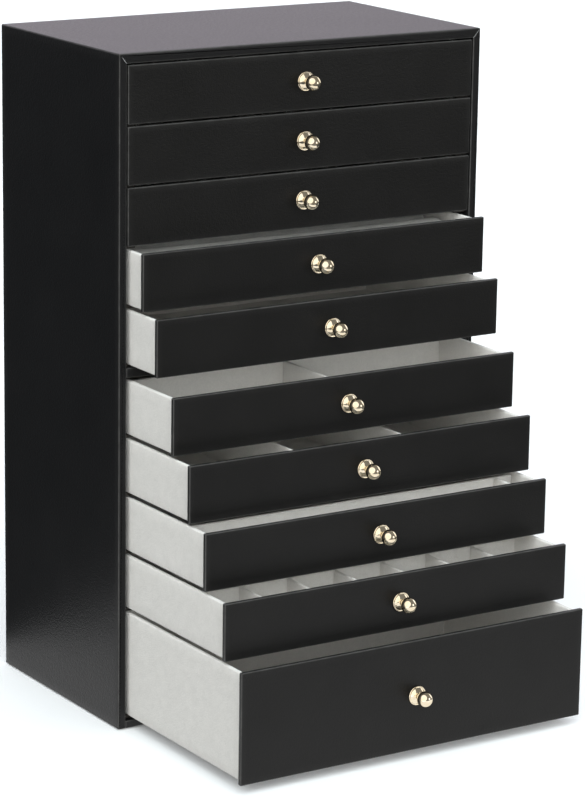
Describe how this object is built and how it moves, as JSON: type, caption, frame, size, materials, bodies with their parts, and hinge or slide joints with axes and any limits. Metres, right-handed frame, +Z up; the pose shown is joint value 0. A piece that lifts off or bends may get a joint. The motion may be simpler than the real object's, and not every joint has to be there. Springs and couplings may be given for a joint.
{
  "type": "jewelry armoire",
  "caption": "Upright leather-covered jewelry chest with full-width sliding drawers, pale suede trays, ball knobs and one deep bottom drawer.",
  "frame": {"origin": "centre of the cabinet's underside, on the surface it stands on", "axes": "+Z up; +X to the right as seen from the front; the drawers pull out towards -Y"},
  "size_m": [0.34, 0.3877, 0.548],
  "materials": {
    "black_leather": "fine-grained black imitation leather, satin, wrapped over board",
    "front_leather": "fine-grained black imitation leather, satin, wrapped over thin board",
    "tray_suede": "off-white short-pile suede cloth",
    "roll_suede": "off-white short-pile suede cloth over foam",
    "pale_gold": "polished pale champagne-gold plating",
    "runner_wood": "hardwood strip stained black",
    "base_felt": "thin black felt glued under the base"
  },
  "bodies": {
    "cabinet": {"left_side_panel": "black_leather", "right_side_panel": "black_leather", "top_panel": "black_leather", "bottom_panel": "black_leather", "back_panel": "black_leather", "middle_shelf": "black_leather", "left_runners": "runner_wood", "right_runners": "runner_wood", "base_felt": "base_felt"},
    "drawer_01": {"drawer_01_front": "front_leather", "drawer_01_tray": "tray_suede", "drawer_01_rose": "pale_gold", "drawer_01_knob": "pale_gold"},
    "drawer_02": {"drawer_02_front": "front_leather", "drawer_02_tray": "tray_suede", "drawer_02_rose": "pale_gold", "drawer_02_knob": "pale_gold"},
    "drawer_03": {"drawer_03_front": "front_leather", "drawer_03_tray": "tray_suede", "drawer_03_rose": "pale_gold", "drawer_03_knob": "pale_gold"},
    "drawer_04": {"drawer_04_front": "front_leather", "drawer_04_tray": "tray_suede", "drawer_04_rose": "pale_gold", "drawer_04_knob": "pale_gold", "drawer_04_ring_rolls": "roll_suede"},
    "drawer_05": {"drawer_05_front": "front_leather", "drawer_05_tray": "tray_suede", "drawer_05_rose": "pale_gold", "drawer_05_knob": "pale_gold"},
    "drawer_06": {"drawer_06_front": "front_leather", "drawer_06_tray": "tray_suede", "drawer_06_rose": "pale_gold", "drawer_06_knob": "pale_gold", "drawer_06_dividers": "tray_suede"},
    "drawer_07": {"drawer_07_front": "front_leather", "drawer_07_tray": "tray_suede", "drawer_07_rose": "pale_gold", "drawer_07_knob": "pale_gold", "drawer_07_dividers": "tray_suede"},
    "drawer_08": {"drawer_08_front": "front_leather", "drawer_08_tray": "tray_suede", "drawer_08_rose": "pale_gold", "drawer_08_knob": "pale_gold", "drawer_08_dividers": "tray_suede"},
    "drawer_09": {"drawer_09_front": "front_leather", "drawer_09_tray": "tray_suede", "drawer_09_rose": "pale_gold", "drawer_09_knob": "pale_gold", "drawer_09_dividers": "tray_suede"},
    "drawer_10": {"drawer_10_front": "front_leather", "drawer_10_tray": "tray_suede", "drawer_10_rose": "pale_gold", "drawer_10_knob": "pale_gold"}
  },
  "joints": [
    {"name": "drawer_01_slide", "type": "slide", "parent": "cabinet", "child": "drawer_01", "axis": [0, -1, 0], "range_m": [0, 0.178]},
    {"name": "drawer_02_slide", "type": "slide", "parent": "cabinet", "child": "drawer_02", "axis": [0, -1, 0], "range_m": [0, 0.178]},
    {"name": "drawer_03_slide", "type": "slide", "parent": "cabinet", "child": "drawer_03", "axis": [0, -1, 0], "range_m": [0, 0.178]},
    {"name": "drawer_04_slide", "type": "slide", "parent": "cabinet", "child": "drawer_04", "axis": [0, -1, 0], "range_m": [-0.0237, 0.1543]},
    {"name": "drawer_05_slide", "type": "slide", "parent": "cabinet", "child": "drawer_05", "axis": [0, -1, 0], "range_m": [-0.0455, 0.1325]},
    {"name": "drawer_06_slide", "type": "slide", "parent": "cabinet", "child": "drawer_06", "axis": [0, -1, 0], "range_m": [-0.071, 0.107]},
    {"name": "drawer_07_slide", "type": "slide", "parent": "cabinet", "child": "drawer_07", "axis": [0, -1, 0], "range_m": [-0.0962, 0.0818]},
    {"name": "drawer_08_slide", "type": "slide", "parent": "cabinet", "child": "drawer_08", "axis": [0, -1, 0], "range_m": [-0.1205, 0.0575]},
    {"name": "drawer_09_slide", "type": "slide", "parent": "cabinet", "child": "drawer_09", "axis": [0, -1, 0], "range_m": [-0.1498, 0.0282]},
    {"name": "drawer_10_slide", "type": "slide", "parent": "cabinet", "child": "drawer_10", "axis": [0, -1, 0], "range_m": [-0.175, 0.003]}
  ]
}
